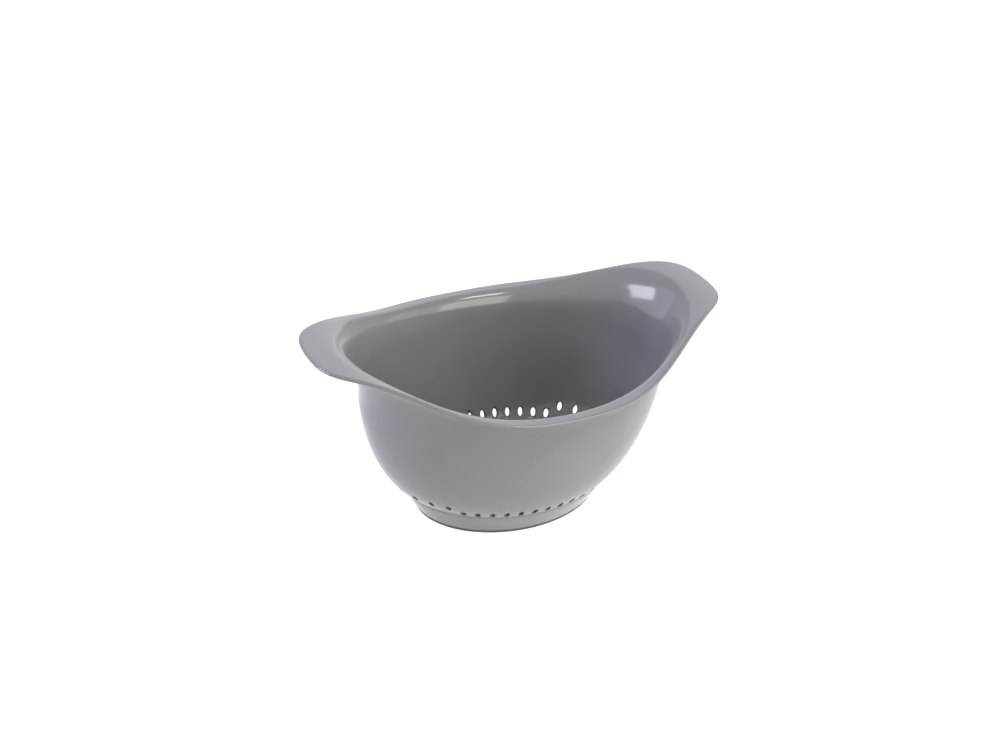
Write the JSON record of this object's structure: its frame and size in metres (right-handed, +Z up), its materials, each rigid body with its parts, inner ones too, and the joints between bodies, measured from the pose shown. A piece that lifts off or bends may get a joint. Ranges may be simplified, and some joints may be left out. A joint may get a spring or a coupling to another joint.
{
  "type": "colander",
  "caption": "Oval moulded colander with a flared rim that rises into a lifting lobe at each end, drain slots round the base of the wall, a short foot and a non-slip ring.",
  "frame": {"origin": "centre of the oval that the non-slip ring rests on, at the standing surface", "axes": "+X along the bowl from lobe to lobe, +Y across it, +Z up"},
  "size_m": [0.29, 0.1766, 0.1396],
  "materials": {
    "bowl_plastic": "glossy moulded plastic in a warm mid grey",
    "ring_rubber": "soft matt rubber in a darker grey"
  },
  "bodies": {
    "root": {"bowl": "bowl_plastic", "non_slip_ring": "ring_rubber"}
  },
  "joints": []
}
